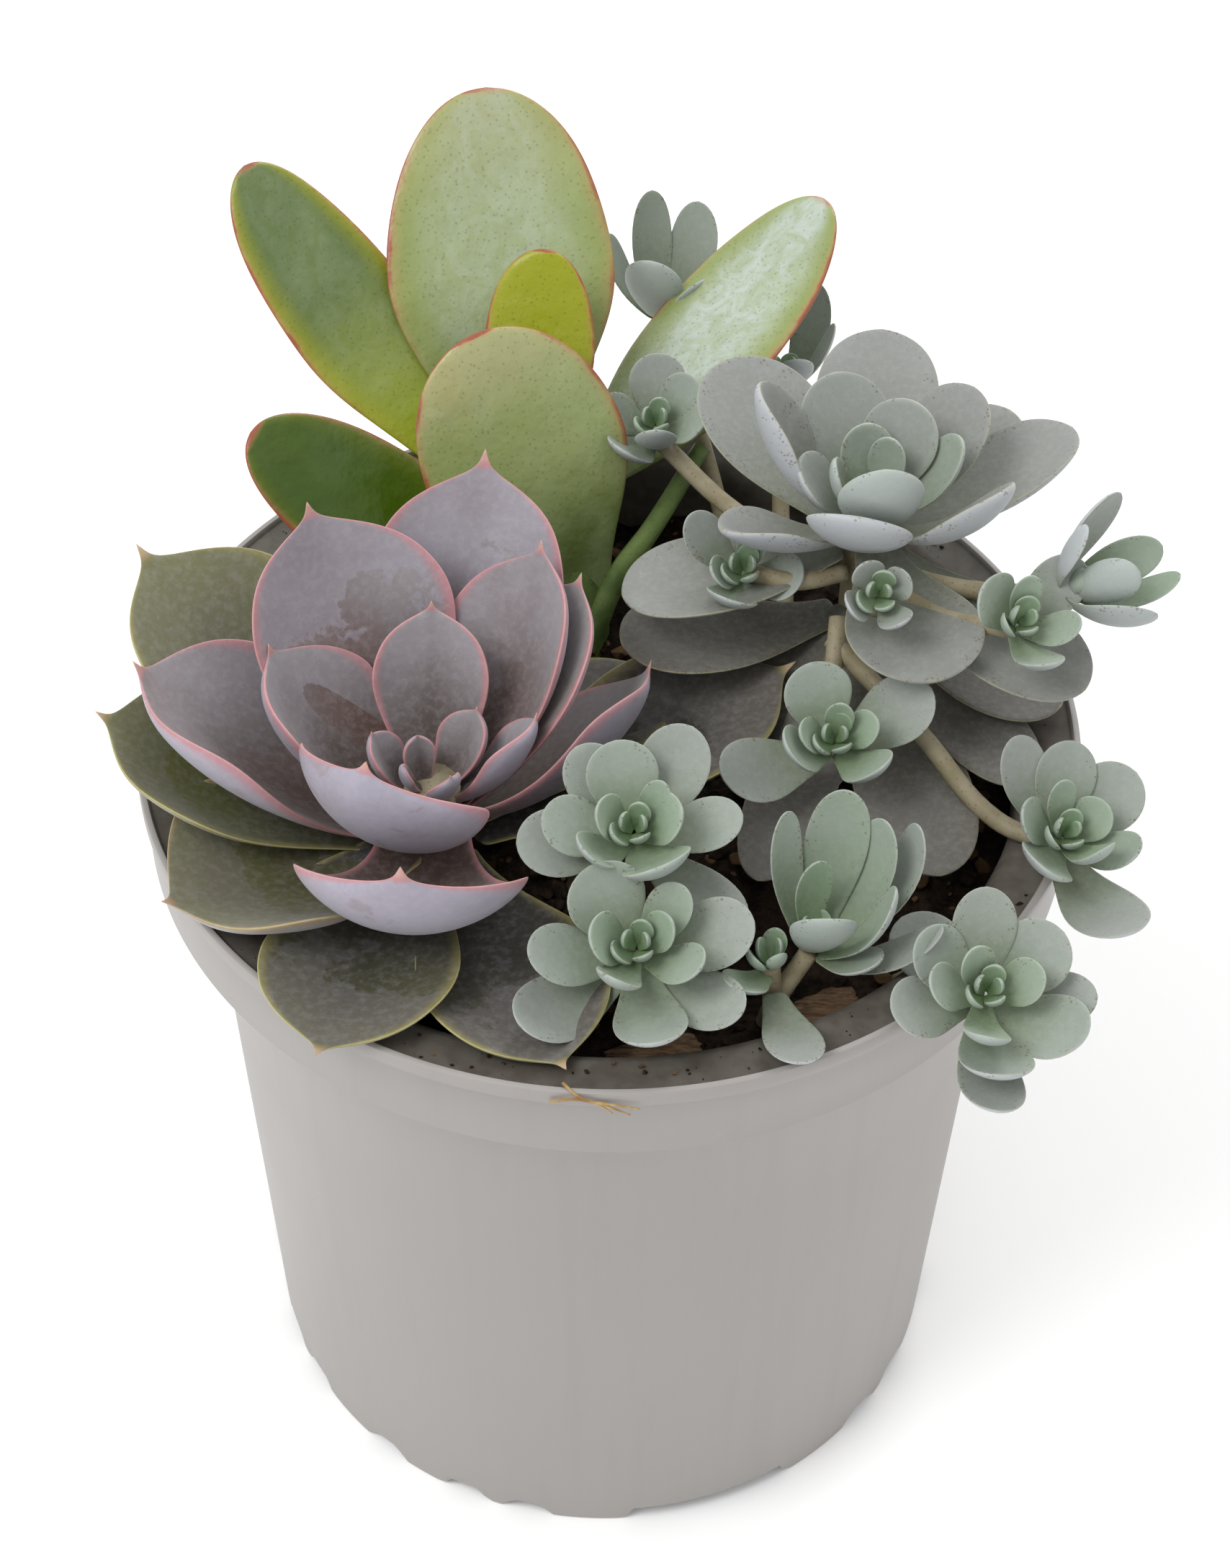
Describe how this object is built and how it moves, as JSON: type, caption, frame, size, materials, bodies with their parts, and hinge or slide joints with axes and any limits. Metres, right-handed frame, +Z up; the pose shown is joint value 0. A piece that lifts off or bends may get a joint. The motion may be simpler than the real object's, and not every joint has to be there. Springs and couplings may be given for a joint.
{
  "type": "potted succulents",
  "caption": "Mixed succulents with fleshy leaves, a cupped rosette, broad oval leaves and small clustered rosettes, growing in soil in a round plastic nursery pot.",
  "frame": {"origin": "middle of the pot's flat underside", "axes": "+Z up along the pot's axis, the plants lean out most towards +Y, the broad pale rosette is on the +X side"},
  "size_m": [0.1425, 0.1596, 0.167],
  "materials": {
    "pot": "warm grey moulded plastic, satin",
    "soil": "dark crumbly potting soil",
    "bark": "rough bark chip",
    "echeveria": "fleshy leaf with a waxy bloom, mauve with pink margins",
    "jade": "smooth fleshy leaf, green with red margins",
    "stonecrop": "fleshy blue-green leaf, powdery, speckled at the margin",
    "jade_stem": "smooth green stem"
  },
  "bodies": {
    "root": {"bark_chip_front": "bark", "bark_chip_right": "bark", "echeveria_crown": "echeveria", "echeveria_leaf_back": "echeveria", "echeveria_leaf_back_left": "echeveria", "echeveria_leaf_back_right": "echeveria", "echeveria_leaf_back_right_under": "echeveria", "echeveria_leaf_bottom": "echeveria", "echeveria_leaf_bottom_right": "echeveria", "echeveria_leaf_front": "echeveria", "echeveria_leaf_inner_back": "echeveria", "echeveria_leaf_inner_front": "echeveria", "echeveria_leaf_inner_left": "echeveria", "echeveria_leaf_inner_right": "echeveria", "echeveria_leaf_left": "echeveria", "echeveria_leaf_lower_left": "echeveria", "echeveria_leaf_outer_back_left": "echeveria", "echeveria_leaf_outer_left": "echeveria", "echeveria_leaf_right": "echeveria", "echeveria_leaf_right_rear": "echeveria", "echeveria_leaf_right_rear_under": "echeveria", "echeveria_leaf_under_left": "echeveria", "jade_leaf_back": "jade", "jade_leaf_bright": "jade", "jade_leaf_front": "jade", "jade_leaf_left": "jade", "jade_leaf_low_left": "jade", "jade_leaf_right": "jade", "jade_stem": "jade_stem", "pot": "pot", "soil": "soil", "stonecrop_crown": "stonecrop", "stonecrop_leaf_back": "stonecrop", "stonecrop_leaf_back_right": "stonecrop", "stonecrop_leaf_front": "stonecrop", "stonecrop_leaf_front_left": "stonecrop", "stonecrop_leaf_front_right": "stonecrop", "stonecrop_leaf_inner_back_left": "stonecrop", "stonecrop_leaf_inner_back_right": "stonecrop", "stonecrop_leaf_inner_left": "stonecrop", "stonecrop_leaf_left": "stonecrop", "stonecrop_leaf_left_cupped": "stonecrop", "stonecrop_leaf_lower_front": "stonecrop", "stonecrop_leaf_lower_left": "stonecrop", "stonecrop_leaf_lower_right": "stonecrop", "stonecrop_leaf_right": "stonecrop", "stonecrop_leaf_under_back_right": "stonecrop", "stonecrop_offset_back": "stonecrop", "stonecrop_offset_back_left": "stonecrop", "stonecrop_offset_back_right": "stonecrop", "stonecrop_offset_far_right": "stonecrop", "stonecrop_offset_front_left": "stonecrop", "stonecrop_offset_front_left_upper": "stonecrop", "stonecrop_offset_front_middle": "stonecrop", "stonecrop_offset_front_right": "stonecrop", "stonecrop_offset_middle": "stonecrop", "stonecrop_offset_right": "stonecrop", "stonecrop_offset_right_upper": "stonecrop", "stonecrop_offset_shoot_front": "stonecrop", "stonecrop_offset_shoot_left": "stonecrop"}
  },
  "joints": []
}
